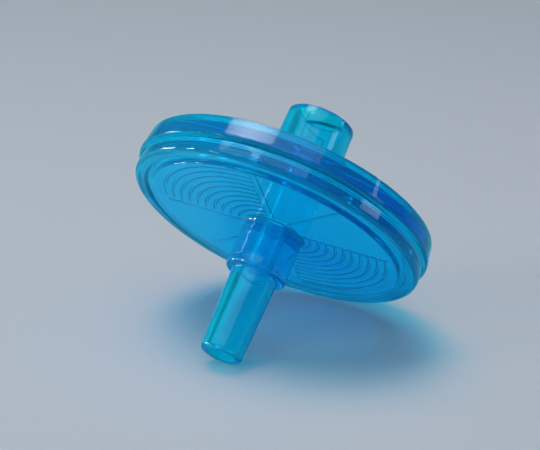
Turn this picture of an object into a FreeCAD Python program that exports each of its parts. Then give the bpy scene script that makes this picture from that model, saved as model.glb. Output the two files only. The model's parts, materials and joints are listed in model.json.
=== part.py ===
# Syringe filter: two mouldings in clear plastic, welded face to face, with a membrane disc held between them.
#
# Each piece is built upright in a body of its own. There the Z axis is the flow axis, height 0 is the end of
# the outlet nozzle, and the inlet hub points up. The body's Placement then turns the piece about the flow axis
# and lays it down the way the filter rests on a table: on the edge of its nozzle and the edge of its rim.
# The origin of the finished part is on the table, under the middle of the filter.
# Sizes are in millimetres and angles in degrees.

import FreeCAD, Part
import Sketcher
import math
import os
import re

PARTS_FOLDER = "parts"
TOLERANCE = 1e-6

# Sizes that are set by hand, one cell of the sheet each.
DRIVING_SIZES = {
    # membrane disc: its diameter is the filter's nominal size
    "membrane_dia": 25.0,
    "membrane_thickness": 0.15,
    "membrane_clearance": 0.1,
    # outlet nozzle: male luer slip cone
    "luer_taper": 0.06,
    "nozzle_tip_dia": 4.0,
    "nozzle_length": 8.3,
    "nozzle_wall": 0.65,
    "nozzle_bore_depth": 8.9,
    "nozzle_edge": 0.35,
    "nozzle_root_fillet": 0.15,
    # boss that carries the nozzle
    "boss_step": 0.68,
    "boss_length": 4.65,
    "boss_edge": 0.3,
    "boss_root_fillet": 0.3,
    "drain_bore_dia": 1.6,
    # outlet moulding: rim with a flat land, gutter, and the raised face inside it
    "weld_width": 1.65,
    "weld_groove": 0.2,
    "rim_height": 1.7,
    "rim_draft": 0.1,
    "rim_edge": 0.45,
    "land_width": 1.1,
    "gutter_slope_width": 0.25,
    "gutter_floor_width": 0.5,
    "gutter_depth": 0.25,
    "face_height": 0.25,
    "face_edge": 0.12,
    # drain pattern under the membrane: curved grooves in two sectors, radial channels, a well in the middle
    "seat_depth": 0.25,
    "drain_depth": 0.25,
    "drain_margin": 0.3,
    "drain_sector": 90,
    "groove_width": 0.42,
    "groove_pitch": 0.84,
    "sector_channel_width": 0.7,
    "cross_channel_width": 0.3,
    "well_dia": 4.6,
    # inlet moulding: drafted flange with a shallow tray on its back, ring that clamps the membrane's edge
    "flange_overhang": 0.25,
    "flange_height": 2.2,
    "flange_band": 0.35,
    "flange_draft": 0.3,
    "flange_edge": 0.25,
    "flange_back_edge": 0.12,
    "tray_wall": 1.5,
    "tray_draft": 0.3,
    "tray_depth": 0.4,
    "tray_edge": 0.15,
    "clamp_width": 0.9,
    "chamber_height": 0.45,
    # fins on the roof of the inlet chamber
    "fin_count": 8,
    "fin_width": 0.5,
    "fin_height": 0.3,
    "fin_inner_margin": 1.7,
    "fin_outer_margin": 1.1,
    # inlet hub: female luer socket with two locking lugs, each a short piece of a right-handed thread
    "socket_mouth_dia": 4.3,
    "socket_chamfer": 0.15,
    "socket_floor": 2.05,
    "inlet_bore_dia": 1.6,
    "hub_wall": 1.15,
    "hub_taper": 0.04,
    "hub_height": 8.1,
    "hub_edge": 0.2,
    "hub_root_fillet": 0.45,
    "lug_reach": 0.6,
    "lug_width": 3.4,
    "lug_height": 1.05,
    "lug_rise": 0.75,
    "lug_drop": 0.25,
    "lug_corner": 0.25,
    "lug_edge": 0.15,
    "lug_blank": 0.5,
    # how far each moulding is turned about the flow axis where the filter lies
    "outlet_turn": 55,
    "inlet_turn": 126,
}

# Sizes that follow from the ones above.
WORKED_OUT_SIZES = {
    # diameters
    "recess_dia": "=membrane_dia + 2 * membrane_clearance",
    "rim_dia": "=recess_dia + 2 * weld_width",
    "land_inner_dia": "=rim_dia - 2 * land_width",
    "gutter_dia": "=land_inner_dia - 2 * gutter_slope_width",
    "face_dia": "=gutter_dia - 2 * gutter_floor_width",
    "chamber_dia": "=membrane_dia - 2 * clamp_width",
    "drain_dia": "=chamber_dia - 2 * drain_margin",
    "nozzle_bore_dia": "=nozzle_tip_dia - 2 * nozzle_wall",
    "nozzle_root_dia": "=nozzle_tip_dia + luer_taper * nozzle_length",
    "boss_dia": "=nozzle_root_dia + 2 * boss_step",
    "flange_dia": "=rim_dia + 2 * flange_overhang",
    "flange_back_dia": "=flange_dia - 2 * flange_draft",
    "tray_top_dia": "=flange_back_dia - 2 * tray_wall",
    "tray_dia": "=tray_top_dia - 2 * tray_draft",
    "hub_end_dia": "=socket_mouth_dia + 2 * hub_wall",
    "hub_root_dia": "=hub_end_dia + hub_taper * (hub_height + tray_depth)",
    "lug_dia": "=hub_end_dia + 2 * lug_reach",
    "lug_blank_dia": "=lug_dia + 2 * lug_blank",
    "lug_inner_dia": "=(socket_mouth_dia + 2 * socket_chamfer + hub_end_dia) / 2",
    "fin_start_dia": "=inlet_bore_dia + 2 * fin_inner_margin",
    "fin_end_dia": "=chamber_dia - 2 * fin_outer_margin",
    # heights up the flow axis
    "face_level": "=nozzle_length + boss_length",
    "land_level": "=face_level + face_height",
    "gutter_level": "=land_level + gutter_depth",
    "joint_level": "=land_level + rim_height",
    "seat_level": "=joint_level - seat_depth",
    "drain_level": "=seat_level - drain_depth",
    "clamp_level": "=seat_level + membrane_thickness",
    "roof_level": "=joint_level + chamber_height",
    "fin_level": "=roof_level - fin_height",
    "back_level": "=joint_level + flange_height",
    "tray_level": "=back_level - tray_depth",
    "socket_level": "=roof_level + socket_floor",
    "hub_level": "=back_level + hub_height",
    "lug_top_level": "=hub_level - lug_drop",
    "lug_low_level": "=lug_top_level - lug_rise - lug_height",
    "socket_floor_dia": "=socket_mouth_dia - luer_taper * (hub_level - socket_level)",
    # The table touches two rounded edges. These are the centres of the roundings, as seen from the side.
    "tip_slope": "=luer_taper / 2",
    "tip_across": "=nozzle_tip_dia / 2 - nozzle_edge * (sqrt(1 + tip_slope^2) - tip_slope)",
    "tip_up": "=nozzle_edge",
    "rim_slope": "=rim_draft / (rim_height - weld_groove)",
    "rim_across": "=rim_dia / 2 - rim_edge * (sqrt(1 + rim_slope^2) + rim_slope)",
    "rim_up": "=land_level + rim_edge",
    "touch_span": "=sqrt((rim_across - tip_across)^2 + (rim_up - tip_up)^2)",
    "touch_slope": "=atan((rim_up - tip_up) / (rim_across - tip_across)) / 1deg",
    "lean": "=touch_slope - asin((rim_edge - nozzle_edge) / touch_span) / 1deg",
    "lift": "=nozzle_edge + tip_across * sin(lean * 1deg) - tip_up * cos(lean * 1deg)",
    # How far the lying filter reaches from the foot of its flow axis, towards the nozzle and away from it.
    "front_reach": "=tip_up * sin(lean * 1deg) - tip_across * cos(lean * 1deg) - nozzle_edge",
    "back_reach": "=flange_back_dia / 2 * cos(lean * 1deg) + back_level * sin(lean * 1deg)",
    "centre_shift": "=-(front_reach + back_reach) / 2",
}

SIZE_NAMES = re.compile(r"\b(%s)\b" % "|".join({**DRIVING_SIZES, **WORKED_OUT_SIZES}))


def bound(formula):
    """The formula as an expression that reads the sheet."""
    return SIZE_NAMES.sub(r"size.\1", formula)


def make_sheet(doc):
    """The sheet with every size, named by its alias."""
    sheet = doc.addObject("Spreadsheet::Sheet", "size")
    for row, (name, value) in enumerate({**DRIVING_SIZES, **WORKED_OUT_SIZES}.items(), start=1):
        sheet.set("A%d" % row, name)
        sheet.set("B%d" % row, str(value))
        sheet.setAlias("B%d" % row, name)
    doc.recompute()
    return sheet


def value_of(sheet, formula):
    """The number that a formula of sizes gives."""
    return float(sheet.evalExpression(bound(formula)))


def origin_feature(body, role):
    """One of the body's own origin planes or axes."""
    return next(feature for feature in body.Origin.OriginFeatures if feature.Role == role)


def new_body(doc, label):
    body = doc.addObject("PartDesign::Body", label)
    body.Label = label
    return body


def new_sketch(body, name, plane, offset=None):
    """A sketch on one of the body's origin planes, moved or turned by an offset placement if one is given."""
    sketch = body.newObject("Sketcher::SketchObject", name)
    sketch.AttachmentSupport = [(origin_feature(body, plane), "")]
    sketch.MapMode = "FlatFace"
    if offset:
        sketch.setExpression("AttachmentOffset", bound(offset))
    return sketch


def upright_sketch(body, name, turn="0"):
    """A sketch whose X axis runs out from the flow axis and whose Y axis is the flow axis."""
    turned = "create(<<rotation>>; create(<<vector>>; 0; 1; 0); %s)" % turn
    placed = "create(<<placement>>; create(<<vector>>; 0; 0; 0); %s)" % turned
    return new_sketch(body, name, "XZ_Plane", placed)


def add_outline(sketch, sheet, corners):
    """Adds a closed outline of straight lines. A corner is two formulas: across the sketch, and up it."""
    first = sketch.GeometryCount
    points = [FreeCAD.Vector(value_of(sheet, across), value_of(sheet, up), 0) for across, up in corners]
    for start, end in zip(points, points[1:] + points[:1]):
        sketch.addGeometry(Part.LineSegment(start, end), False)
    for index, (across, up) in enumerate(corners):
        line = first + index
        previous = first + (index - 1) % len(corners)
        sketch.addConstraint(Sketcher.Constraint("Coincident", previous, 2, line, 1))
        place_point(sketch, sheet, "DistanceX", line, across, axis=-2)
        place_point(sketch, sheet, "DistanceY", line, up, axis=-1)


def place_point(sketch, sheet, kind, line, formula, axis):
    """Holds the start of a line at a distance from one of the sketch's axes, or on the axis for a 0."""
    if formula == "0":
        sketch.addConstraint(Sketcher.Constraint("PointOnObject", line, 1, axis))
        return
    distance = Sketcher.Constraint(kind, -1, 1, line, 1, value_of(sheet, formula))
    sketch.setExpression("Constraints[%d]" % sketch.addConstraint(distance), bound(formula))


def rectangle(left, right, bottom, top):
    return [(left, bottom), (right, bottom), (right, top), (left, top)]


def turned_solid(body, sheet, name, corners):
    """A solid of revolution about the flow axis."""
    sketch = upright_sketch(body, name + "_profile")
    add_outline(sketch, sheet, corners)
    solid = body.newObject("PartDesign::Revolution", name)
    solid.Profile = sketch
    solid.ReferenceAxis = (sketch, ["V_Axis"])
    solid.Angle = 360
    body.Document.recompute()
    return solid


def ring_edges(shape, radius, level):
    """Names of the edges that lie on one circle about the flow axis."""
    found = []
    for number, edge in enumerate(shape.Edges, start=1):
        curve = edge.Curve
        if not isinstance(curve, Part.Circle):
            continue
        if abs(curve.Radius - radius) < TOLERANCE and abs(curve.Center.z - level) < TOLERANCE:
            found.append("Edge%d" % number)
    return found


def round_edges(body, name, edges, radius):
    """Rounds the named edges of the body's last feature."""
    fillet = body.newObject("PartDesign::Fillet", name)
    fillet.Base = (fillet.BaseFeature, edges)
    fillet.setExpression("Radius", bound(radius))
    body.Document.recompute()


def round_ring(body, sheet, name, diameter, level, radius):
    """Rounds the edge that runs round the flow axis at a diameter and a level."""
    edges = ring_edges(body.Tip.Shape, value_of(sheet, diameter) / 2, value_of(sheet, level))
    round_edges(body, name, edges, radius)


def repeat_round(body, name, features, count):
    """Repeats features evenly round the flow axis."""
    pattern = body.newObject("PartDesign::PolarPattern", name)
    pattern.Originals = features
    pattern.Axis = (origin_feature(body, "Z_Axis"), [""])
    pattern.Angle = 360
    pattern.setExpression("Occurrences", bound(count))
    body.Tip = pattern
    body.Document.recompute()


def add_drain_grooves(body, sheet):
    """Curved grooves, one inside the other, across one sector. As many are cut as there is room for."""
    room = value_of(sheet, "(drain_dia - well_dia) / 2 - groove_width")
    count = 1 + math.floor(room / value_of(sheet, "groove_pitch"))
    sketch = upright_sketch(body, "drain_groove_sections")
    for index in range(count):
        outer = "drain_dia / 2 - %d * groove_pitch" % index
        add_outline(sketch, sheet, rectangle(outer + " - groove_width", outer, "drain_level", "joint_level"))
    grooves = body.newObject("PartDesign::Groove", "drain_grooves")
    grooves.Profile = sketch
    grooves.ReferenceAxis = (sketch, ["V_Axis"])
    grooves.Midplane = True
    grooves.setExpression("Angle", bound("drain_sector"))
    body.Document.recompute()
    return grooves


def add_channel(body, sheet, name, width, turn):
    """A straight channel from the well out to the edge of the drain pattern, turned about the flow axis."""
    sketch = upright_sketch(body, name + "_section", turn)
    add_outline(sketch, sheet, rectangle("drain_bore_dia / 2", "drain_dia / 2", "drain_level", "joint_level"))
    channel = body.newObject("PartDesign::Pocket", name)
    channel.Profile = sketch
    channel.SideType = "Symmetric"
    channel.setExpression("Length", bound(width))
    body.Document.recompute()
    return channel


def make_outlet_housing(doc, sheet):
    """Outlet moulding: luer nozzle, boss, disc with its rim, and the drain pattern under the membrane."""
    body = new_body(doc, "outlet_housing")
    turned_solid(body, sheet, "outlet_disc", [
        ("nozzle_bore_dia / 2", "0"),
        ("nozzle_tip_dia / 2", "0"),
        ("nozzle_root_dia / 2", "nozzle_length"),
        ("boss_dia / 2", "nozzle_length"),
        ("boss_dia / 2", "face_level"),
        ("face_dia / 2", "face_level"),
        ("face_dia / 2", "gutter_level"),
        ("gutter_dia / 2", "gutter_level"),
        ("land_inner_dia / 2", "land_level"),
        ("rim_dia / 2", "land_level"),
        ("rim_dia / 2 - rim_draft", "joint_level - weld_groove"),
        ("rim_dia / 2 - rim_draft - weld_groove", "joint_level"),
        ("recess_dia / 2", "joint_level"),
        ("recess_dia / 2", "seat_level"),
        ("well_dia / 2", "seat_level"),
        ("well_dia / 2", "drain_level"),
        ("drain_bore_dia / 2", "drain_level"),
        ("drain_bore_dia / 2", "nozzle_bore_depth"),
        ("nozzle_bore_dia / 2", "nozzle_bore_depth"),
    ])
    round_ring(body, sheet, "nozzle_tip_edge", "nozzle_tip_dia", "0", "nozzle_edge")
    round_ring(body, sheet, "nozzle_root", "nozzle_root_dia", "nozzle_length", "nozzle_root_fillet")
    round_ring(body, sheet, "boss_end_edge", "boss_dia", "nozzle_length", "boss_edge")
    round_ring(body, sheet, "boss_root", "boss_dia", "face_level", "boss_root_fillet")
    round_ring(body, sheet, "face_outer_edge", "face_dia", "face_level", "face_edge")
    round_ring(body, sheet, "rim_outer_edge", "rim_dia", "land_level", "rim_edge")
    half_pattern = [
        add_drain_grooves(body, sheet),
        add_channel(body, sheet, "first_sector_channel", "sector_channel_width", "drain_sector / 2"),
        add_channel(body, sheet, "last_sector_channel", "sector_channel_width", "-drain_sector / 2"),
        add_channel(body, sheet, "cross_channel", "cross_channel_width", "90"),
    ]
    repeat_round(body, "drain_pattern", half_pattern, "2")
    return body


def add_fin(body, sheet):
    """One radial fin that hangs from the roof of the inlet chamber, half a step round from the first lug."""
    sketch = upright_sketch(body, "fin_section", "180 / fin_count")
    levels = ("fin_level", "(roof_level + tray_level) / 2")
    add_outline(sketch, sheet, rectangle("fin_start_dia / 2", "fin_end_dia / 2", *levels))
    fin = body.newObject("PartDesign::Pad", "fin")
    fin.Profile = sketch
    fin.SideType = "Symmetric"
    fin.setExpression("Length", bound("fin_width"))
    body.Document.recompute()
    return fin


def add_lug_blank(body, sheet):
    """Blank of one lug: a slanting bar from outside the lug's front face to inside the hub's wall."""
    outside = "create(<<vector>>; 0; 0; lug_blank_dia / 2)"
    offset = "create(<<placement>>; %s; create(<<rotation>>; 0; 0; 0))" % outside
    sketch = new_sketch(body, "lug_outline", "YZ_Plane", offset)
    add_outline(sketch, sheet, [
        ("-lug_width / 2", "lug_low_level"),
        ("lug_width / 2", "lug_low_level + lug_rise"),
        ("lug_width / 2", "lug_low_level + lug_rise + lug_height"),
        ("-lug_width / 2", "lug_low_level + lug_height"),
    ])
    blank = body.newObject("PartDesign::Pad", "lug_blank")
    blank.Profile = sketch
    blank.Reversed = True
    blank.setExpression("Length", bound("(lug_blank_dia - lug_inner_dia) / 2"))
    body.Document.recompute()
    return blank


def trim_lugs(body, sheet):
    """Turns the blanks down to the diameter of the lugs."""
    sketch = upright_sketch(body, "lug_front_section")
    sides = ("lug_dia / 2", "(lug_blank_dia + lug_width) / 2")
    levels = ("lug_low_level - lug_height", "hub_level + lug_height")
    add_outline(sketch, sheet, rectangle(*sides, *levels))
    fronts = body.newObject("PartDesign::Groove", "lug_fronts")
    fronts.Profile = sketch
    fronts.ReferenceAxis = (sketch, ["V_Axis"])
    fronts.Angle = 360
    body.Document.recompute()


def lug_edges(shape, radius, whole):
    """Names of the edges with one end on the lugs' front faces or, if whole is true, with both ends on them."""
    found = []
    for number, edge in enumerate(shape.Edges, start=1):
        ends = [abs(math.hypot(vertex.X, vertex.Y) - radius) < TOLERANCE for vertex in edge.Vertexes]
        if len(ends) == 2 and any(ends) and all(ends) == whole:
            found.append("Edge%d" % number)
    return found


def round_lugs(body, sheet, name, whole, radius):
    """Rounds the edges round the lugs' front faces, or those that lead in from the corners of the faces."""
    round_edges(body, name, lug_edges(body.Tip.Shape, value_of(sheet, "lug_dia / 2"), whole), radius)


def make_inlet_housing(doc, sheet):
    """Inlet moulding: flange with a tray on its back, hub with a luer socket and lugs, and the clamp ring."""
    body = new_body(doc, "inlet_housing")
    turned_solid(body, sheet, "inlet_disc", [
        ("inlet_bore_dia / 2", "roof_level"),
        ("chamber_dia / 2", "roof_level"),
        ("chamber_dia / 2", "clamp_level"),
        ("membrane_dia / 2", "clamp_level"),
        ("membrane_dia / 2", "joint_level"),
        ("flange_dia / 2", "joint_level"),
        ("flange_dia / 2", "joint_level + flange_band"),
        ("flange_back_dia / 2", "back_level"),
        ("tray_top_dia / 2", "back_level"),
        ("tray_dia / 2", "tray_level"),
        ("hub_root_dia / 2", "tray_level"),
        ("hub_end_dia / 2", "hub_level"),
        ("socket_mouth_dia / 2 + socket_chamfer", "hub_level"),
        ("socket_mouth_dia / 2", "hub_level - socket_chamfer"),
        ("socket_floor_dia / 2", "socket_level"),
        ("inlet_bore_dia / 2", "socket_level"),
    ])
    repeat_round(body, "fins", [add_fin(body, sheet)], "fin_count")
    round_ring(body, sheet, "hub_root", "hub_root_dia", "tray_level", "hub_root_fillet")
    round_ring(body, sheet, "flange_front_edge", "flange_dia", "joint_level", "flange_edge")
    round_ring(body, sheet, "flange_back_edge", "flange_back_dia", "back_level", "flange_back_edge")
    round_ring(body, sheet, "tray_edge", "tray_top_dia", "back_level", "tray_edge")
    round_ring(body, sheet, "hub_end_edge", "hub_end_dia", "hub_level", "hub_edge")
    repeat_round(body, "lugs", [add_lug_blank(body, sheet)], "2")
    trim_lugs(body, sheet)
    round_lugs(body, sheet, "lug_corners", False, "lug_corner")
    round_lugs(body, sheet, "lug_front_edges", True, "lug_edge")
    return body


def make_membrane(doc, sheet):
    """Membrane disc, lying on the seat with its edge under the clamp ring."""
    body = new_body(doc, "membrane")
    turned_solid(body, sheet, "disc", rectangle("0", "membrane_dia / 2", "seat_level", "clamp_level"))
    return body


def lay_down(body, turn):
    """Turns a piece about the flow axis, then lays it down on the edges of the nozzle and the rim."""
    place = "create(<<vector>>; 0; centre_shift; lift)"
    tipped = "create(<<rotation>>; create(<<vector>>; 1; 0; 0); -lean)"
    turned = "create(<<rotation>>; create(<<vector>>; 0; 0; 1); %s)" % turn
    body.setExpression("Placement", bound("create(<<placement>>; %s; %s * %s)" % (place, tipped, turned)))


def check_document(doc):
    """Stops if an object failed, a feature changed nothing, or a piece isn't one sound solid."""
    for item in doc.Objects:
        if "Invalid" in item.State or "Error" in item.State:
            raise RuntimeError("%s failed: %s" % (item.Name, item.State))
        base = getattr(item, "BaseFeature", None)
        if base and math.isclose(base.Shape.Volume, item.Shape.Volume, rel_tol=TOLERANCE):
            raise RuntimeError("%s changes nothing" % item.Name)
    for body in doc.findObjects("PartDesign::Body"):
        if body.Shape.isNull() or not body.Shape.isValid() or len(body.Shape.Solids) != 1:
            raise RuntimeError("%s isn't one sound solid" % body.Label)


def export_pieces(doc):
    """Writes each piece to a STEP file named after its label."""
    os.makedirs(PARTS_FOLDER, exist_ok=True)
    for body in doc.findObjects("PartDesign::Body"):
        body.Shape.exportStep(os.path.join(PARTS_FOLDER, body.Label + ".step"))
        box = body.Shape.optimalBoundingBox(False)
        print("%-15s %8.2f mm3, X %.2f to %.2f, Y %.2f to %.2f, Z %.2f to %.2f" % (
            body.Label, body.Shape.Volume, box.XMin, box.XMax, box.YMin, box.YMax, box.ZMin, box.ZMax))


def main():
    doc = FreeCAD.newDocument("syringe_filter")
    sheet = make_sheet(doc)
    lay_down(make_outlet_housing(doc, sheet), "outlet_turn")
    lay_down(make_inlet_housing(doc, sheet), "inlet_turn")
    lay_down(make_membrane(doc, sheet), "0")
    doc.recompute()
    check_document(doc)
    export_pieces(doc)


main()
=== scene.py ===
"""A syringe filter lying on a table: two clear blue mouldings round a membrane.

Every shape is worked out upright, in millimetres: the flow axis is Z, height 0 is the end of the outlet
nozzle, and the inlet hub points up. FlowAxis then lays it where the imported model's two luer mounts say.
The studio's sizes are in metres.
"""

import json
import logging
import math
from dataclasses import dataclass, field
from enum import Enum
from typing import NamedTuple, Sequence

import bpy
import numpy as np
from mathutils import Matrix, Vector


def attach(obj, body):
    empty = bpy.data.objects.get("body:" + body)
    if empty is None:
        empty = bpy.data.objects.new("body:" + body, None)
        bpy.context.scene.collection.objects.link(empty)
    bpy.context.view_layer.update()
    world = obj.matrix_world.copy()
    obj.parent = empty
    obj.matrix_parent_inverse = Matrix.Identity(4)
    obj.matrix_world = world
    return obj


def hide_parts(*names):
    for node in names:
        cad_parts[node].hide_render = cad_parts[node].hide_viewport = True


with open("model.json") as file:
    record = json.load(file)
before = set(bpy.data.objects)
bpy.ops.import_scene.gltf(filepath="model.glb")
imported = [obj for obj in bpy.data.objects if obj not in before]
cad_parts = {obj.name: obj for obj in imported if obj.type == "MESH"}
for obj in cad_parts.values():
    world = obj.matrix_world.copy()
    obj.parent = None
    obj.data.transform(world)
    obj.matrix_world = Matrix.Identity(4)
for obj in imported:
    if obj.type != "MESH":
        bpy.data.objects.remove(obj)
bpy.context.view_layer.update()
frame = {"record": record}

MM = 0.001
BODY = "root"
SMOOTH_BELOW = math.radians(35)
FLAT_MARGIN = 0.12
QUARTER_TURN = math.pi / 2
MIX_COLOUR_A, MIX_COLOUR_B, MIX_COLOUR_RESULT = 6, 7, 2
Colour = tuple[float, float, float, float]
log = logging.getLogger("syringe_filter")


class Slot(Enum):
    """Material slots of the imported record."""

    PLASTIC = "clear_blue_plastic"
    MEMBRANE = "membrane"


class Corner(NamedTuple):
    """A corner of an outline: how far across and up, and the radius of its rounding, in millimetres."""

    across: float
    up: float
    rounding: float = 0.0


# ----------------------------------------------------------------------------------------------------
# Places and meshes
# ----------------------------------------------------------------------------------------------------


@dataclass(frozen=True)
class FlowAxis:
    """The line through both luer fittings, and the directions of the filter's own upright frame."""

    foot: np.ndarray
    across: np.ndarray
    aside: np.ndarray
    along: np.ndarray

    @classmethod
    def from_record(cls, record: dict) -> "FlowAxis":
        """Reads the axis from the two luer mounts.

        Args:
            record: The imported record.

        Returns:
            The axis. Its foot is the end of the nozzle, and its across direction is the level diameter, X.
        """
        mounts = {mount["name"]: mount for mount in record["mounts"]}
        along = np.array(mounts["inlet_luer"]["axis"], dtype=float)
        along /= np.linalg.norm(along)
        across = np.array((1.0, 0.0, 0.0))
        foot = np.array(mounts["outlet_luer"]["pos_m"], dtype=float)
        return cls(foot, across, np.cross(along, across), along)

    def place(self, points: np.ndarray) -> np.ndarray:
        """Carries upright points to the lying filter: foot + x * across + y * aside + z * along.

        Args:
            points: Points in millimetres, in an array whose last axis is x, y, z.

        Returns:
            The points in metres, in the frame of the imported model.
        """
        turned = np.stack((self.across, self.aside, self.along))
        return self.foot + (points * MM) @ turned


def rounded_path(corners: Sequence[Corner], steps: int = 5, closed: bool = False) -> np.ndarray:
    """Path through corners, each rounded by an arc.

    With the unit vectors p and q from a corner to its neighbours, the arc of radius R touches both sides at
    R / tan(half the angle between them) from the corner. Its centre is on the bisector, at R / sin(half
    angle), and its points are the centre plus R times directions swept evenly from one touching point to the
    other. One more point stands FLAT_MARGIN times R before the arc and one as far after it, so that shading
    stays flat on flat sides.

    Args:
        corners: The corners in order.
        steps: Number of steps in each arc.
        closed: True if the last corner joins the first.

    Returns:
        Points (count, 2): across and up, in millimetres.
    """
    places = np.array([(corner.across, corner.up) for corner in corners])
    sweep = np.linspace(0.0, 1.0, steps + 1)
    runs = []
    for index, corner in enumerate(corners):
        at_end = not closed and index in (0, len(corners) - 1)
        if corner.rounding <= 0.0 or at_end:
            runs.append(places[index][None])
            continue
        before = places[index - 1] - places[index]
        after = places[(index + 1) % len(corners)] - places[index]
        before /= np.linalg.norm(before)
        after /= np.linalg.norm(after)
        half = math.acos(np.clip(before @ after, -1.0, 1.0)) / 2
        bisector = (before + after) / np.linalg.norm(before + after)
        centre = places[index] + bisector * corner.rounding / math.sin(half)
        touch = corner.rounding / math.tan(half)
        first = places[index] + before * touch - centre
        last = places[index] + after * touch - centre
        turn = math.pi - 2 * half
        weights = np.stack((np.sin((1 - sweep) * turn), np.sin(sweep * turn)), axis=1) / math.sin(turn)
        arc = centre + weights @ np.stack((first, last))
        margin = FLAT_MARGIN * corner.rounding
        runs.append(np.vstack((arc[0] + before * margin, arc, arc[-1] + after * margin)))
    return np.vstack(runs)


def rings(path: np.ndarray, angles: np.ndarray) -> np.ndarray:
    """Turns a path about the flow axis: x = across * cos(angle), y = across * sin(angle), z = up.

    Args:
        path: Points (rows, 2), across and up.
        angles: Angles of the columns, (columns,) or (rows, columns).

    Returns:
        Points (rows, columns, 3).
    """
    across, up = path[:, :1], path[:, 1:]
    angles = np.broadcast_to(angles, (len(path), angles.shape[-1]))
    return np.stack((across * np.cos(angles), across * np.sin(angles), up + 0.0 * angles), axis=-1)


def mesh_piece(name: str, points: np.ndarray, faces: list[np.ndarray]) -> bpy.types.Object:
    """Makes an object from points and arrays of faces.

    Args:
        name: Name of the piece.
        points: Points (count, 3), in metres.
        faces: Arrays of point numbers, one row a face, each array with three or four columns.

    Returns:
        The object, smooth shaded apart from its sharp edges.
    """
    mesh = bpy.data.meshes.new(name)
    corners = np.concatenate([block.ravel() for block in faces])
    sizes = np.concatenate([np.full(len(block), block.shape[1]) for block in faces])
    mesh.vertices.add(len(points))
    mesh.vertices.foreach_set("co", points.ravel())
    mesh.loops.add(len(corners))
    mesh.loops.foreach_set("vertex_index", corners.astype(np.int32))
    mesh.polygons.add(len(sizes))
    starts = np.concatenate(([0], np.cumsum(sizes)[:-1]))
    mesh.polygons.foreach_set("loop_start", starts.astype(np.int32))
    mesh.update(calc_edges=True)
    mesh.shade_smooth()
    mesh.set_sharp_from_angle(angle=SMOOTH_BELOW)
    mesh.validate()
    piece = bpy.data.objects.new(name, mesh)
    bpy.context.scene.collection.objects.link(piece)
    return piece


def closed_band_faces(rows: int, columns: int, loop: bool) -> np.ndarray:
    """Four-sided faces between neighbouring rows and columns of a grid whose columns go right round.

    Args:
        rows: Number of rows.
        columns: Number of columns.
        loop: True if the last row joins the first too, as on a ring.

    Returns:
        Faces (count, 4).
    """
    row = np.arange(rows if loop else rows - 1)[:, None] * columns
    row_next = (np.arange(1, len(row) + 1) % rows)[:, None] * columns
    column = np.arange(columns)[None]
    column_next = (column + 1) % columns
    around = (row + column, row + column_next, row_next + column_next, row_next + column)
    return np.stack(around, axis=-1).reshape(-1, 4)


def turned(points: np.ndarray, degrees: float) -> np.ndarray:
    """Turns points about the Z axis: (x cos a - y sin a, x sin a + y cos a, z).

    Args:
        points: Points in an array whose last axis is x, y, z.
        degrees: The angle a.

    Returns:
        The turned points.
    """
    cosine, sine = math.cos(math.radians(degrees)), math.sin(math.radians(degrees))
    x, y, z = points[..., 0], points[..., 1], points[..., 2]
    return np.stack((x * cosine - y * sine, x * sine + y * cosine, z), axis=-1)


# ----------------------------------------------------------------------------------------------------
# Outlet moulding
# ----------------------------------------------------------------------------------------------------


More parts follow.
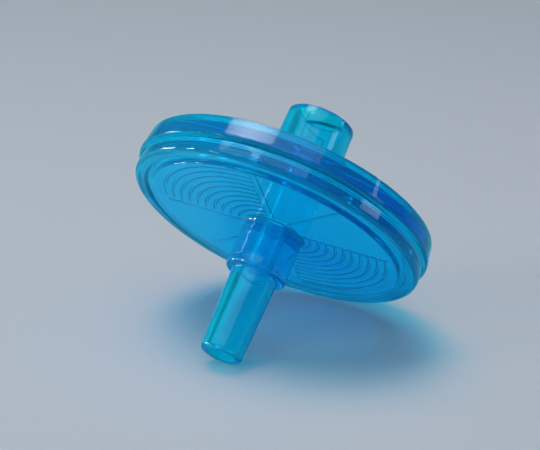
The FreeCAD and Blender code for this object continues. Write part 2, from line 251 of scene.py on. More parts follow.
@dataclass
class DrainPattern:
    """What the membrane lies on: curved grooves in two sectors, six straight channels, and a well.

    The grooves are cut to a share of the depth, the channels to all of it.
    """

    radius: float = 11.3
    well_radius: float = 2.3
    pitch: float = 0.84
    groove_width: float = 0.42
    depth: float = 0.25
    groove_share: float = 0.25
    sector_channel: float = 0.7
    cross_channel: float = 0.3
    sector: float = 90.0
    wall_lean: float = 0.05
    columns_per_degree: float = 1.0
    points_per_groove: int = 9

    def channels(self) -> list[tuple[float, float]]:
        """Lists the channels: one at each edge of a sector, and one half way between the sectors.

        Returns:
            Direction in degrees and width in millimetres of each channel.
        """
        half = self.sector / 2
        wide, narrow = self.sector_channel, self.cross_channel
        near_side = [(-half, wide), (half, wide), (90.0, narrow)]
        return near_side + [(angle + 180.0, width) for angle, width in near_side]

    def columns(self, radii: np.ndarray) -> tuple[np.ndarray, np.ndarray, np.ndarray]:
        """Angles of grid columns that run along the straight walls of the channels.

        A wall at a distance w from a channel's middle line stands at the angle asin(w / radius) from it. Six
        columns follow the top, the middle and the foot of a channel's two walls. The columns between two
        channels share out the angle that is left evenly.

        Args:
            radii: Radius of each row.

        Returns:
            Angles (rows, columns), and for each column how far it is cut as a channel and how far it is
            grooved, 0 to 1.
        """
        held = np.clip(radii, self.well_radius, self.radius)[:, None]
        lean = self.wall_lean * np.array((-1.0, 0.0, 1.0))
        channels = self.channels()
        middles = [math.radians(angle) for angle, _ in channels]
        walls = []
        for _, width in channels:
            offsets = np.concatenate((-width / 2 + lean, width / 2 + lean))
            walls.append(np.arcsin(offsets[None] / held))
        angles, channel, grooved = [], [], []
        for index, middle in enumerate(middles):
            last = index + 1 == len(middles)
            following = middles[0] + 2 * math.pi if last else middles[index + 1]
            steps = round(math.degrees(following - middle) * self.columns_per_degree)
            share = (np.arange(1, steps) / steps)[None]
            start = middle + walls[index][:, -1:]
            end = following + walls[(index + 1) % len(middles)][:, :1]
            angles += [middle + walls[index], start + (end - start) * share]
            channel += [np.array((0.0, 0.5, 1.0, 1.0, 0.5, 0.0)), np.zeros(steps - 1)]
            ribbed = 1.0 if index in (0, 3) else 0.0
            ribbed_before = 1.0 if index in (1, 4) else 0.0
            grooved += [np.array((ribbed_before, 0.5, 1.0, 1.0, 0.5, ribbed)), np.full(steps - 1, ribbed)]
        return np.concatenate(angles, axis=1), np.concatenate(channel), np.concatenate(grooved)

    def rows(self) -> tuple[np.ndarray, np.ndarray, np.ndarray]:
        """Rows from the well outwards. The grooves are cut in the shape of a soft wave.

        In a groove's own width, from u = 0 to u = 1, the cut is the groove share times sin(pi u) squared.

        Returns:
            Radius of each row, how far the grooves are cut there, and how far the channels are, 0 to 1.
        """
        count = 1 + math.floor((self.radius - self.well_radius - self.groove_width) / self.pitch)
        inner = self.radius - self.groove_width - self.pitch * np.arange(count)[::-1]
        share = np.linspace(0.0, 1.0, self.points_per_groove)
        radii = (inner[:, None] + self.groove_width * share[None]).ravel()
        cut = self.groove_share * np.tile(np.sin(math.pi * share) ** 2, count)
        channel = np.ones_like(cut)
        channel[-1] = 0.0
        first = self.well_radius + self.wall_lean
        return np.append(first, radii), np.append(0.0, cut), np.append(1.0, channel)


@dataclass
class OutletMoulding:
    """Nozzle, boss and disc in one moulding, with the drain pattern inside.

    The joint gap draws the welded face back, so that the two mouldings never share a face.
    """

    axis: FlowAxis
    drain: DrainPattern = field(default_factory=DrainPattern)
    turn: float = 55.0
    tip_radius: float = 2.0
    root_radius: float = 2.249
    bore_radius: float = 1.35
    nozzle_length: float = 8.3
    bore_depth: float = 8.9
    drain_bore_radius: float = 0.8
    boss_radius: float = 2.93
    face_radius: float = 12.4
    face_level: float = 12.95
    gutter_radius: float = 12.9
    gutter_level: float = 13.45
    land_radius: float = 13.15
    land_level: float = 13.2
    rim_radius: float = 14.25
    rim_draft: float = 0.1
    weld_groove: float = 0.2
    joint_level: float = 14.9
    recess_radius: float = 12.6
    seat_level: float = 14.65
    joint_gap: float = 0.002
    recess_edge: float = 0.04
    weld_edge: float = 0.08
    rim_edge: float = 0.45
    land_edge: float = 0.15
    gutter_edge: float = 0.08
    face_root: float = 0.1
    face_edge: float = 0.12
    boss_edge: float = 0.3
    nozzle_root: float = 0.15
    nozzle_edge: float = 0.35
    bore_edge: float = 0.08
    bore_end: float = 0.15

    def skin_path(self) -> np.ndarray:
        """Outline from the recess round the outside to the foot of the well.

        Returns:
            Points (count, 2), in millimetres.
        """
        joint = self.joint_level - self.joint_gap
        joint_radius = self.rim_radius - self.rim_draft
        drain_level = self.seat_level - self.drain.depth
        return rounded_path((
            Corner(self.recess_radius, self.seat_level),
            Corner(self.recess_radius, joint, self.recess_edge),
            Corner(joint_radius - self.weld_groove, joint, self.recess_edge),
            Corner(joint_radius, joint - self.weld_groove, self.weld_edge),
            Corner(self.rim_radius, self.land_level, self.rim_edge),
            Corner(self.land_radius, self.land_level, self.land_edge),
            Corner(self.gutter_radius, self.gutter_level, self.gutter_edge),
            Corner(self.face_radius, self.gutter_level, self.face_root),
            Corner(self.face_radius, self.face_level, self.face_edge),
            Corner(self.boss_radius, self.face_level, self.boss_edge),
            Corner(self.boss_radius, self.nozzle_length, self.boss_edge),
            Corner(self.root_radius, self.nozzle_length, self.nozzle_root),
            Corner(self.tip_radius, 0.0, self.nozzle_edge),
            Corner(self.bore_radius, 0.0, self.bore_edge),
            Corner(self.bore_radius, self.bore_depth, self.bore_end),
            Corner(self.drain_bore_radius, self.bore_depth, self.bore_edge),
            Corner(self.drain_bore_radius, drain_level, self.bore_edge),
            Corner(self.drain.well_radius - self.drain.wall_lean, drain_level),
        ))

    def surface(self) -> np.ndarray:
        """Grid of the whole moulding: the turned outline, then the drain.

        The drain's height is the seat's less the depth times the larger of two masks: the grooves' (in their
        rows and sectors) and the channels' (in their columns).

        Returns:
            Points (rows, columns, 3), in millimetres.
        """
        path = self.skin_path()
        radii, groove_rows, channel_rows = self.drain.rows()
        skin_angles, _, _ = self.drain.columns(path[:, 0])
        angles, channel, grooved = self.drain.columns(radii)
        cut = np.maximum(groove_rows[:, None] * grooved[None], channel_rows[:, None] * channel[None])
        drain = rings(np.stack((radii, 0.0 * radii), axis=1), angles)
        drain[..., 2] = self.seat_level - self.drain.depth * cut
        return np.concatenate((rings(path, skin_angles), drain))

    def build(self) -> bpy.types.Object:
        """Builds the moulding, turned about the flow axis by its own angle.

        Returns:
            The piece.
        """
        surface = self.surface()
        points = self.axis.place(turned(surface, self.turn).reshape(-1, 3))
        faces = closed_band_faces(*surface.shape[:2], loop=True)[:, ::-1]
        piece = mesh_piece("outlet_moulding", points, [faces])
        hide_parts("outlet_housing")
        return piece


# ----------------------------------------------------------------------------------------------------
# Inlet moulding
# ----------------------------------------------------------------------------------------------------


@dataclass
class LockingLugs:
    """Two lugs on the hub, one each way along X: short pieces of a right-handed thread.

    The fade angle is in radians.
    """

    radius: float = 3.9
    half_width: float = 1.7
    low_level: float = 23.525
    top_level: float = 24.575
    slope: float = 0.2206
    edge: float = 0.15
    foot: float = 0.02
    fade_angle: float = 0.9
    front_columns: int = 18
    plain_columns: int = 57
    edge_points: int = 5

    def wall(self, reach: float) -> tuple[np.ndarray, np.ndarray]:
        """Section of a lug's side wall with its rounded front edge.

        After the foot, the quarter circle of radius R has at the angle t the inset R (1 - cos t), and stands
        R (1 - sin t) below the front face.

        Args:
            reach: How far the lug stands out from the hub.

        Returns:
            Insets from the lug's outline, and shares of the reach, from the foot to the front face.
        """
        sweep = np.linspace(0.0, QUARTER_TURN, self.edge_points)
        insets = np.append(-self.foot, self.edge * (1 - np.cos(sweep)))
        return insets, np.append(0.0, 1 - self.edge / reach * (1 - np.sin(sweep)))

    def columns(self, hub_radius: float) -> tuple[np.ndarray, np.ndarray]:
        """Angles of grid columns that are closer together at the lugs' sides.

        A column at a distance y from a lug's middle line stands at asin(y / radius there). A quarter turn has
        even columns on the front face, then the side wall, then even columns to the quarter. Mirrored and
        repeated it goes all round.

        Args:
            hub_radius: Radius of the hub where the lugs are.

        Returns:
            Angles rising from 0, in radians, and how far each column is raised as a lug, 0 to 1.
        """
        reach = self.radius - hub_radius
        insets, shares = self.wall(reach)
        sides = np.arcsin((self.half_width - insets) / (hub_radius + reach * shares))[::-1]
        front = np.arange(self.front_columns) / self.front_columns * sides[0]
        steps = np.arange(1, self.plain_columns + 1)
        plain = sides[-1] + (QUARTER_TURN - sides[-1]) * steps / self.plain_columns
        quarter = np.concatenate((front, sides, plain))
        raised = np.concatenate((np.ones(len(front)), shares[::-1], np.zeros(len(plain))))
        half = np.concatenate((quarter, math.pi - quarter[-2:0:-1]))
        raised = np.concatenate((raised, raised[-2:0:-1]))
        return np.concatenate((half, half + math.pi)), np.tile(raised, 2)

    def rise(self, angles: np.ndarray, radii: np.ndarray) -> np.ndarray:
        """How far a lug's own line has climbed at each angle: slope * y, held beyond the lug's sides.

        Within the fade angle of the quarter turn it fades to nothing, so that the two lugs' lines join.

        Args:
            angles: Angles of the columns, in radians.
            radii: Radii of the surface there.

        Returns:
            Heights in millimetres.
        """
        local = (angles + QUARTER_TURN) % math.pi - QUARTER_TURN
        fade = np.clip((QUARTER_TURN - np.abs(local)) / self.fade_angle, 0.0, 1.0)
        return self.slope * np.clip(radii * np.sin(local), -self.half_width, self.half_width) * fade


@dataclass
class ChamberFins:
    """Radial fins on the roof of the inlet chamber."""

    count: int = 8
    inner_radius: float = 2.5
    outer_radius: float = 10.5
    width: float = 0.5
    height: float = 0.3
    wall_lean: float = 0.03

    def rows(self) -> tuple[np.ndarray, np.ndarray]:
        """Rows across the fins, from the outside inwards.

        Returns:
            Radius of each row, and whether a fin stands there, 0 or 1.
        """
        outer = self.outer_radius + self.wall_lean * np.array((1.0, -1.0))
        inner = self.inner_radius + self.wall_lean * np.array((1.0, -1.0))
        return np.append(outer, inner), np.array((0.0, 1.0, 1.0, 0.0))

    def columns(self, radii: np.ndarray, total: int) -> tuple[np.ndarray, np.ndarray]:
        """Angles of grid columns that run along the fins' straight walls.

        A wall at a distance w from a fin's middle line stands at the angle asin(w / radius) from it.

        Args:
            radii: Radius of each row.
            total: Number of columns.

        Returns:
            Angles (rows, columns) that start half way between two fins, and whether a column is on a fin.
        """
        half, lean = self.width / 2, self.wall_lean
        offsets = np.array((-half - lean, -half + lean, half - lean, half + lean))
        walls = np.arcsin(offsets[None] / np.clip(radii, self.inner_radius, None)[:, None])
        gap = total // self.count - len(offsets)
        pitch = 2 * math.pi / self.count
        share = np.arange(gap // 2) / (gap // 2)
        before = (walls[:, :1] + pitch / 2) * share[None] - pitch / 2
        share_after = (np.arange(gap // 2) + 1) / (gap // 2 + 1)
        after = walls[:, -1:] + (pitch / 2 - walls[:, -1:]) * share_after[None]
        one = np.concatenate((before, walls, after), axis=1) + pitch / 2
        angles = np.concatenate([one + pitch * index for index in range(self.count)], axis=1)
        on_fin = np.zeros(one.shape[1])
        on_fin[len(share) + 1:len(share) + 3] = 1.0
        return angles, np.tile(on_fin, self.count)


@dataclass
class InletMoulding:
    """Flange with a tray on its back, hub with its socket and lugs, and the clamp ring and fins inside.

    The joint gap draws the welded face back, so that the two mouldings never share a face.
    """

    axis: FlowAxis
    lugs: LockingLugs = field(default_factory=LockingLugs)
    fins: ChamberFins = field(default_factory=ChamberFins)
    turn: float = 126.0
    hub_end_radius: float = 3.3
    hub_growth: float = 0.02
    hub_level: float = 25.2
    hub_edge: float = 0.2
    wall_level: float = 22.2
    socket_radius: float = 2.15
    socket_floor_radius: float = 1.916
    socket_level: float = 17.4
    bore_radius: float = 0.8
    tray_level: float = 16.7
    tray_radius: float = 12.4
    tray_top_radius: float = 12.7
    back_level: float = 17.1
    back_radius: float = 14.2
    flange_radius: float = 14.5
    band_level: float = 15.25
    joint_level: float = 14.9
    joint_gap: float = 0.002
    clamp_radius: float = 12.5
    clamp_level: float = 14.8
    chamber_radius: float = 11.6
    roof_level: float = 15.35
    end_land: float = 0.1
    end_row_share: float = 1.2
    edge_points: int = 6
    wall_height: float = 2.0
    hub_root: float = 0.45
    tray_root: float = 0.12
    tray_edge: float = 0.15
    back_edge: float = 0.12
    band_edge: float = 0.4
    flange_edge: float = 0.25
    clamp_root: float = 0.03
    clamp_edge: float = 0.05
    roof_edge: float = 0.1
    floor_edge: float = 0.15
    mouth_chamfer: float = 0.15
    mouth_edge: float = 0.05

    def hub_radius(self, level: float) -> float:
        """Radius of the hub's drafted wall at a level."""
        return self.hub_end_radius + self.hub_growth * (self.hub_level - level)

    def lug_root_radius(self) -> float:
        """Radius of the hub's wall half way up the lugs."""
        return self.hub_radius((self.lugs.low_level + self.lugs.top_level) / 2)

    def hub_rows(self) -> np.ndarray:
        """Rows from the flat end of the hub down over the lugs to the plain wall below them.

        The end's edge is a quarter circle: at the angle t the wall is drawn in by R (1 - sin t) and lies
        R (1 - cos t) below the end. The rows over the lugs climb with them. A point's radius is the hub's,
        plus the lugs' reach times its row's share and its column's share.

        Returns:
            Points (rows, columns, 3), in millimetres.
        """
        lugs, edge = self.lugs, self.hub_edge
        middle = self.lug_root_radius()
        angles, raised = lugs.columns(middle)
        insets, shares = lugs.wall(lugs.radius - middle)
        sweep = np.linspace(0.0, QUARTER_TURN, self.edge_points)
        end_levels = np.append(self.hub_level, self.hub_level - edge * (1 - np.cos(sweep)))
        end_insets = np.append(self.end_row_share * edge, edge * (1 - np.sin(sweep)))
        lug_levels = np.append(lugs.top_level - insets, (lugs.low_level + insets)[::-1])
        levels = np.concatenate((end_levels, lug_levels, [self.wall_level]))[:, None]
        drawn_in = np.append(end_insets, np.zeros(len(lug_levels) + 1))[:, None]
        flat = np.zeros(len(end_levels))
        share = np.concatenate((flat, shares, shares[::-1], [0.0]))[:, None] * raised[None]
        climbing = np.concatenate((flat, np.ones(2 * len(shares)), [0.0]))[:, None]
        radii = self.hub_radius(levels) + (lugs.radius - self.hub_radius(levels)) * share
        levels = levels + climbing * lugs.rise(angles[None], radii)
        walls = self.hub_radius(levels)
        radii = walls - drawn_in + (lugs.radius - walls) * share
        return np.stack((radii * np.cos(angles), radii * np.sin(angles), levels + 0.0 * radii), axis=-1)

    def wall_path(self) -> np.ndarray:
        """Outline from below the lugs over the tray and the flange to the chamber's roof.

        Returns:
            Points (count, 2), in millimetres.
        """
        joint = self.joint_level + self.joint_gap
        wall_top = self.tray_level + self.wall_height
        return rounded_path((
            Corner(self.hub_radius(wall_top), wall_top),
            Corner(self.hub_radius(self.tray_level), self.tray_level, self.hub_root),
            Corner(self.tray_radius, self.tray_level, self.tray_root),
            Corner(self.tray_top_radius, self.back_level, self.tray_edge),
            Corner(self.back_radius, self.back_level, self.back_edge),
            Corner(self.flange_radius, self.band_level, self.band_edge),
            Corner(self.flange_radius, joint, self.flange_edge),
            Corner(self.clamp_radius, joint, self.clamp_root),
            Corner(self.clamp_radius, self.clamp_level, self.clamp_root),
            Corner(self.chamber_radius, self.clamp_level, self.clamp_edge),
            Corner(self.chamber_radius, self.roof_level, self.roof_edge),
            Corner(self.fins.outer_radius + 2 * self.fins.wall_lean, self.roof_level),
        ))

    def socket_path(self) -> np.ndarray:
        """Outline from the chamber's roof up the inlet bore and the socket to the hub's end.

        Returns:
            Points (count, 2), in millimetres.
        """
        chamfer = self.mouth_chamfer
        return rounded_path((
            Corner(self.fins.inner_radius - 2 * self.fins.wall_lean, self.roof_level),
            Corner(self.bore_radius, self.roof_level, self.roof_edge),
            Corner(self.bore_radius, self.socket_level, self.roof_edge),
            Corner(self.socket_floor_radius, self.socket_level, self.floor_edge),
            Corner(self.socket_radius, self.hub_level - chamfer, self.mouth_edge),
            Corner(self.socket_radius + chamfer, self.hub_level, self.mouth_edge),
            Corner(self.hub_end_radius - self.hub_edge - self.end_land, self.hub_level),
        ))

    def surface(self) -> np.ndarray:
        """Grid of the whole moulding: the hub with its lugs, the walls, the fins, then the socket.

        Returns:
            Points (rows, columns, 3), in millimetres.
        """
        hub_angles, _ = self.lugs.columns(self.lug_root_radius())
        radii, fin_rows = self.fins.rows()
        fin_angles, on_fin = self.fins.columns(radii, len(hub_angles))
        fins = rings(np.stack((radii, 0.0 * radii), axis=1), fin_angles)
        fins[..., 2] = self.roof_level - self.fins.height * fin_rows[:, None] * on_fin[None]
        return np.concatenate((
            self.hub_rows(),
            rings(self.wall_path(), hub_angles),
            fins,
            rings(self.socket_path(), hub_angles),
        ))

    def build(self) -> bpy.types.Object:
        """Builds the moulding, turned about the flow axis by its own angle.

        Returns:
            The piece.
        """
        surface = self.surface()
        points = self.axis.place(turned(surface, self.turn).reshape(-1, 3))
        faces = closed_band_faces(*surface.shape[:2], loop=True)[:, ::-1]
        piece = mesh_piece("inlet_moulding", points, [faces])
        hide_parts("inlet_housing")
        return piece


@dataclass
class Membrane:
    """Thin disc between the drain pattern and the clamp ring."""

    axis: FlowAxis
    radius: float = 12.5
    lower_level: float = 14.654
    upper_level: float = 14.796
    edge: float = 0.02
    ring_shares: tuple[float, float] = (0.4, 0.8)
    columns: int = 180

    def build(self) -> bpy.types.Object:
        """Builds the disc: rings at a few radii on both faces, and one point in the middle of each.

        Returns:
            The piece.
        """
        edge, lower, upper = self.edge, self.lower_level, self.upper_level
        inner, outer = (share * self.radius for share in self.ring_shares)
        path = np.array((
            (inner, lower), (outer, lower), (self.radius - edge, lower), (self.radius, lower + edge),
            (self.radius, upper - edge), (self.radius - edge, upper), (outer, upper), (inner, upper),
        ))
        angles = np.linspace(0.0, 2 * math.pi, self.columns, endpoint=False)
        grid = rings(path, angles).reshape(-1, 3)
        points = self.axis.place(np.vstack((grid, (0.0, 0.0, lower), (0.0, 0.0, upper))))
        count = len(grid)
        column = np.arange(self.columns)
        following = (column + 1) % self.columns
        last_row = count - self.columns
        below = np.stack((np.full(self.columns, count), following, column), axis=1)
        above = np.stack((np.full(self.columns, count + 1), last_row + column, last_row + following), axis=1)
        faces = [closed_band_faces(len(path), self.columns, loop=False), below, above]
        piece = mesh_piece("membrane_disc", points, faces)
        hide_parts("membrane")
        return piece


# ----------------------------------------------------------------------------------------------------
# Finishes
# ----------------------------------------------------------------------------------------------------


def new_node(tree: bpy.types.NodeTree, kind: str, **values) -> bpy.types.Node:
    """Adds a node and sets its inputs.

    Args:
        tree: Tree to add it to.
        kind: Blender's name for the node type.
        values: Input values by name, with underscores for spaces.

    Returns:
        The node.
    """
    node = tree.nodes.new(kind)
    for name, value in values.items():
        node.inputs[name.replace("_", " ")].default_value = value
    return node


def surface_grain() -> bpy.types.NodeTree:
    """Node group for a moulded or pressed surface: two sizes of noise on object coordinates.

    Height is the coarse noise and the fine noise mixed, and Roughness is a base value plus the coarse noise's
    distance from its middle value, times a spread.

    Returns:
        The group, with outputs Height and Roughness.
    """
    group = bpy.data.node_groups.new("surface_grain", "ShaderNodeTree")
    defaults = {
        "Coarse Scale": 120.0,
        "Fine Scale": 2500.0,
        "Fine Share": 0.3,
        "Roughness": 0.05,
        "Spread": 0.05,
    }
    for name, value in defaults.items():
        socket = group.interface.new_socket(name, in_out="INPUT", socket_type="NodeSocketFloat")
        socket.default_value = value
    for name in ("Height", "Roughness"):
        group.interface.new_socket(name, in_out="OUTPUT", socket_type="NodeSocketFloat")
    given = group.nodes.new("NodeGroupInput")
    result = group.nodes.new("NodeGroupOutput")
    place = group.nodes.new("ShaderNodeTexCoord")
    link = group.links.new
    noises = []
    for scale in ("Coarse Scale", "Fine Scale"):
        noise = new_node(group, "ShaderNodeTexNoise", Detail=2.0)
        link(place.outputs["Object"], noise.inputs["Vector"])
        link(given.outputs[scale], noise.inputs["Scale"])
        noises.append(noise)
    height = group.nodes.new("ShaderNodeMix")
    link(given.outputs["Fine Share"], height.inputs["Factor"])
    link(noises[0].outputs["Fac"], height.inputs["A"])
    link(noises[1].outputs["Fac"], height.inputs["B"])
    link(height.outputs["Result"], result.inputs["Height"])
    offset = group.nodes.new("ShaderNodeMath")
    offset.operation = "SUBTRACT"
    offset.inputs[1].default_value = 0.5
    link(noises[0].outputs["Fac"], offset.inputs[0])
    roughness = group.nodes.new("ShaderNodeMath")
    roughness.operation = "MULTIPLY_ADD"
    roughness.use_clamp = True
    link(offset.outputs["Value"], roughness.inputs[0])
    link(given.outputs["Spread"], roughness.inputs[1])
    link(given.outputs["Roughness"], roughness.inputs[2])
    link(roughness.outputs["Value"], result.inputs["Roughness"])
    return group


@dataclass(frozen=True)
class ClearPlastic:
    """Clear blue moulded plastic that takes off red, and some green, with depth.

    Most light goes through it. The rest, one less the clear share, is scattered as a faint blue haze.
    """

    grain: bpy.types.NodeTree
    base_colour: Colour = (0.02, 0.88, 1.0, 1.0)
    mirror_tint: Colour = (0.5, 0.65, 0.75, 1.0)
    clear_share: float = 0.88
    refraction: float = 1.53
    roughness: float = 0.02
    roughness_spread: float = 0.03
    grain_scale: float = 160.0
    bump_strength: float = 0.15
    bump_height: float = 0.00001
    depth_colour: Colour = (0.0, 0.925, 0.985, 1.0)
    depth_density: float = 1200.0
    shadow_colour: Colour = (0.50, 0.94, 0.97, 1.0)

    def make(self) -> bpy.types.Material:
        """Builds the material. Shadow and diffuse rays pass straight through it, tinted at each surface.

        Returns:
            The material.
        """
        material = bpy.data.materials.new("clear_blue_plastic")
        material.use_nodes = True
        tree = material.node_tree
        tree.nodes.clear()
        link = tree.links.new
        grain = tree.nodes.new("ShaderNodeGroup")
        grain.node_tree = self.grain
        grain.inputs["Coarse Scale"].default_value = self.grain_scale
        grain.inputs["Roughness"].default_value = self.roughness
        grain.inputs["Spread"].default_value = self.roughness_spread
        bump = new_node(tree, "ShaderNodeBump", Strength=self.bump_strength, Distance=self.bump_height)
        link(grain.outputs["Height"], bump.inputs["Height"])
        shader = new_node(
            tree, "ShaderNodeBsdfPrincipled",
            Base_Color=self.base_colour, IOR=self.refraction,
            Transmission_Weight=self.clear_share, Specular_Tint=self.mirror_tint,
        )
        link(grain.outputs["Roughness"], shader.inputs["Roughness"])
        link(bump.outputs["Normal"], shader.inputs["Normal"])
        clear = new_node(tree, "ShaderNodeBsdfTransparent", Color=self.shadow_colour)
        ray = tree.nodes.new("ShaderNodeLightPath")
        either = tree.nodes.new("ShaderNodeMath")
        either.operation = "MAXIMUM"
        link(ray.outputs["Is Shadow Ray"], either.inputs[0])
        link(ray.outputs["Is Diffuse Ray"], either.inputs[1])
        mix = tree.nodes.new("ShaderNodeMixShader")
        link(either.outputs["Value"], mix.inputs["Fac"])
        link(shader.outputs["BSDF"], mix.inputs[1])
        link(clear.outputs["BSDF"], mix.inputs[2])
        depth = tree.nodes.new("ShaderNodeVolumeAbsorption")
        depth.inputs["Color"].default_value = self.depth_colour
        depth.inputs["Density"].default_value = self.depth_density
        out = tree.nodes.new("ShaderNodeOutputMaterial")
        link(mix.outputs["Shader"], out.inputs["Surface"])
        link(depth.outputs["Volume"], out.inputs["Volume"])
        return material


@dataclass(frozen=True)
class MembraneSheet:
    """Thin white porous sheet that lets some light through.

    The colour is pinker than the sheet itself, and is set for how it looks through the blue plastic.
    """

    grain: bpy.types.NodeTree
    colour: Colour = (0.85, 0.68, 0.84, 1.0)
    through: float = 0.75
    shadow_share: float = 0.88
    roughness: float = 0.8
    roughness_spread: float = 0.2
    coarse_scale: float = 900.0
    fine_scale: float = 9000.0
    fine_share: float = 0.6
    bump_strength: float = 0.3
    bump_height: float = 0.00002

    def make(self) -> bpy.types.Material:
        """Builds the material: a matte face, a share of light passed on, and a part clear shadow.

        Returns:
            The material.
        """
        material = bpy.data.materials.new("membrane")
        material.use_nodes = True
        tree = material.node_tree
        tree.nodes.clear()
        link = tree.links.new
        grain = tree.nodes.new("ShaderNodeGroup")
        grain.node_tree = self.grain
        grain.inputs["Coarse Scale"].default_value = self.coarse_scale
        grain.inputs["Fine Scale"].default_value = self.fine_scale
        grain.inputs["Fine Share"].default_value = self.fine_share
        grain.inputs["Roughness"].default_value = self.roughness
        grain.inputs["Spread"].default_value = self.roughness_spread
        bump = new_node(tree, "ShaderNodeBump", Strength=self.bump_strength, Distance=self.bump_height)
        link(grain.outputs["Height"], bump.inputs["Height"])
        shader = new_node(tree, "ShaderNodeBsdfPrincipled", Base_Color=self.colour)
        link(grain.outputs["Roughness"], shader.inputs["Roughness"])
        link(bump.outputs["Normal"], shader.inputs["Normal"])
        passed = new_node(tree, "ShaderNodeBsdfTranslucent", Color=self.colour)
        body = new_node(tree, "ShaderNodeMixShader", Fac=self.through)
        link(shader.outputs["BSDF"], body.inputs[1])
        link(passed.outputs["BSDF"], body.inputs[2])
        clear = tree.nodes.new("ShaderNodeBsdfTransparent")
        ray = tree.nodes.new("ShaderNodeLightPath")
        share = tree.nodes.new("ShaderNodeMath")
        share.operation = "MULTIPLY"
        share.inputs[1].default_value = self.shadow_share
        link(ray.outputs["Is Shadow Ray"], share.inputs[0])
        mix = tree.nodes.new("ShaderNodeMixShader")
        link(share.outputs["Value"], mix.inputs["Fac"])
        link(body.outputs["Shader"], mix.inputs[1])
        link(clear.outputs["BSDF"], mix.inputs[2])
        out = tree.nodes.new("ShaderNodeOutputMaterial")
        link(mix.outputs["Shader"], out.inputs["Surface"])
        return material


def dress(piece: bpy.types.Object, material: bpy.types.Material) -> None:
    """Gives a piece its material and the body it rides on.

    Args:
        piece: The piece.
        material: Its finish.
    """
    piece.data.materials.append(material)
    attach(piece, BODY)
    log.info("%s: %d faces", piece.name, len(piece.data.polygons))


# ----------------------------------------------------------------------------------------------------
# Studio
# ----------------------------------------------------------------------------------------------------


@dataclass(frozen=True)
class SoftBox:
    """An area lamp aimed at the filter. Angles are in degrees, and the azimuth is counted from -Y."""

    name: str
    azimuth: float
    elevation: float
    width: float
    height: float
    power: float
    colour: tuple[float, float, float] = (1.0, 1.0, 1.0)
    distance: float = 0.5
    spread: float = 180.0

    def build(self, aim: Vector) -> bpy.types.Object:
        """Hangs the lamp at its azimuth and elevation round a point, facing the point.

        Args:
            aim: The point it faces.

        Returns:
            The lamp.
        """
        lamp = bpy.data.lights.new(self.name, "AREA")
        lamp.shape = "RECTANGLE"
        lamp.size, lamp.size_y = self.width, self.height
        lamp.energy = self.power
        lamp.color = self.colour
        lamp.spread = math.radians(self.spread)
        holder = bpy.data.objects.new(self.name, lamp)
        away = direction(self.azimuth, self.elevation)
        holder.location = aim + away * self.distance
        holder.rotation_euler = (-away).to_track_quat("-Z", "Y").to_euler()
        bpy.context.scene.collection.objects.link(holder)
        return holder


def direction(azimuth: float, elevation: float) -> Vector:
    """Unit vector from the filter towards a place in the room.

    Args:
        azimuth: Its azimuth in degrees, counted from -Y.
        elevation: Its elevation in degrees.

    Returns:
        The vector.
    """
    around, above = math.radians(azimuth), math.radians(elevation)
    level = math.cos(above)
    return Vector((math.sin(around) * level, -math.cos(around) * level, math.sin(above)))


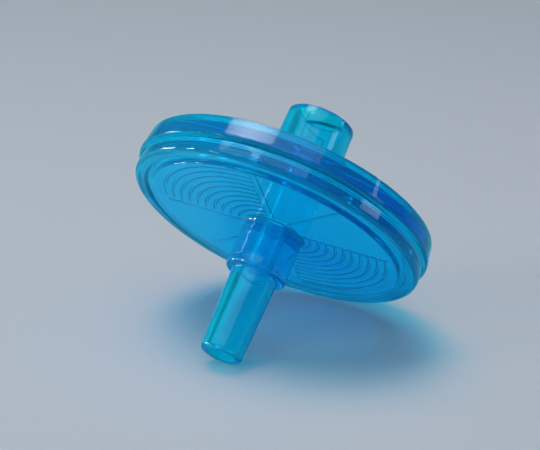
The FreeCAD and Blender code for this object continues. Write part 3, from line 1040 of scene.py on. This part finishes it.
@dataclass
class Studio:
    """Pale floor, soft light and the camera.

    The floor shows its own colour to the camera, and a bluer bounce colour to every other ray, so that the
    plastic picks up no red from it.
    """

    axis: FlowAxis
    view_azimuth: float = 30.64
    view_elevation: float = 21.47
    distance: float = 0.2095
    lens: float = 148.9
    centre_level: float = 17.0
    shift_right: float = 0.001823
    shift_up: float = 0.002765
    clip_start: float = 0.01
    clip_end: float = 20.0
    floor_size: float = 6.0
    floor_roughness: float = 0.9
    floor_mirror: float = 0.2
    floor_colour: Colour = (0.41, 0.472, 0.534, 1.0)
    bounce_colour: Colour = (0.12, 0.48, 0.55, 1.0)
    sky_colour: Colour = (0.80, 0.88, 1.0, 1.0)
    sky_strength: float = 0.04

    def centre(self) -> Vector:
        """The point on the flow axis that the camera and the lamps are set round."""
        return Vector(self.axis.place(np.array((0.0, 0.0, self.centre_level))))

    def build_camera(self) -> None:
        """Sets the camera at its angle and distance, shifted a little to the left of the centre and below."""
        back = direction(self.view_azimuth, self.view_elevation)
        turn = (-back).to_track_quat("-Z", "Y")
        right, up = turn @ Vector((1, 0, 0)), turn @ Vector((0, 1, 0))
        lens = bpy.data.cameras.new("camera")
        lens.lens = self.lens
        lens.clip_start, lens.clip_end = self.clip_start, self.clip_end
        camera = bpy.data.objects.new("camera", lens)
        camera.location = self.centre() + back * self.distance
        camera.location -= right * self.shift_right + up * self.shift_up
        camera.rotation_euler = turn.to_euler()
        bpy.context.scene.collection.objects.link(camera)
        bpy.context.scene.camera = camera

    def build_floor(self) -> None:
        """Lays the floor at height 0, in one colour for the camera and another for all other rays."""
        signs = np.array(((-1.0, -1.0, 0.0), (1.0, -1.0, 0.0), (1.0, 1.0, 0.0), (-1.0, 1.0, 0.0)))
        points = signs * self.floor_size / 2
        floor = mesh_piece("floor", points, [np.array([[0, 1, 2, 3]])])
        material = bpy.data.materials.new("floor")
        material.use_nodes = True
        tree = material.node_tree
        shader = tree.nodes["Principled BSDF"]
        shader.inputs["Roughness"].default_value = self.floor_roughness
        shader.inputs["Specular IOR Level"].default_value = self.floor_mirror
        ray = tree.nodes.new("ShaderNodeLightPath")
        colour = tree.nodes.new("ShaderNodeMix")
        colour.data_type = "RGBA"
        tree.links.new(ray.outputs["Is Camera Ray"], colour.inputs["Factor"])
        colour.inputs[MIX_COLOUR_A].default_value = self.bounce_colour
        colour.inputs[MIX_COLOUR_B].default_value = self.floor_colour
        tree.links.new(colour.outputs[MIX_COLOUR_RESULT], shader.inputs["Base Color"])
        floor.data.materials.append(material)

    def build_sky(self) -> None:
        """Fills the room with an even pale light."""
        world = bpy.data.worlds.new("room")
        world.use_nodes = True
        background = world.node_tree.nodes["Background"]
        background.inputs["Color"].default_value = self.sky_colour
        background.inputs["Strength"].default_value = self.sky_strength
        bpy.context.scene.world = world

    def build_lamps(self) -> None:
        """Hangs the soft boxes.

        Nearly all the light comes from a narrow one overhead, which throws the shadow, and from a wide one
        over it. The small ones on the left are there for the highlights on the edges, and the one on the
        right lifts the far side.
        """
        view = self.view_azimuth
        lamps = (
            SoftBox(
                "main", azimuth=view - 132, elevation=76, width=0.29, height=0.29, power=0.162,
                colour=(1.12, 0.93, 0.86), spread=45,
            ),
            SoftBox(
                "ceiling", azimuth=view - 30, elevation=82, width=0.75, height=0.75, power=1.85,
                colour=(0.79, 0.95, 1.04), distance=0.6,
            ),
            SoftBox(
                "left_window", azimuth=view - 84, elevation=8, width=0.08, height=0.035, power=1.2,
                colour=(0.8, 1.0, 1.05),
            ),
            SoftBox(
                "left_front", azimuth=view - 64, elevation=4, width=0.06, height=0.05, power=0.4,
                colour=(0.95, 1.0, 1.0),
            ),
            SoftBox(
                "front_left", azimuth=view - 52, elevation=44, width=0.05, height=0.05, power=0.06,
            ),
            SoftBox(
                "back_left", azimuth=view - 108, elevation=5, width=0.16, height=0.05, power=0.9,
                colour=(0.95, 1.0, 1.0),
            ),
            SoftBox(
                "right", azimuth=view + 82, elevation=16, width=0.14, height=0.12, power=0.13,
            ),
        )
        for lamp in lamps:
            lamp.build(self.centre())

    def build(self) -> None:
        """Builds the camera, the floor, the sky and the lamps."""
        self.build_camera()
        self.build_floor()
        self.build_sky()
        self.build_lamps()
        bpy.context.scene.view_settings.view_transform = "Standard"


def main() -> None:
    """Builds the pieces in order, dresses them and sets the studio round them."""
    logging.basicConfig(level=logging.INFO, format="%(name)s: %(message)s")
    axis = FlowAxis.from_record(frame["record"])
    Studio(axis).build()
    grain = surface_grain()
    plastic = ClearPlastic(grain).make()
    dress(OutletMoulding(axis).build(), plastic)
    dress(InletMoulding(axis).build(), plastic)
    dress(Membrane(axis).build(), MembraneSheet(grain).make())


if __name__ == "__main__":
    main()
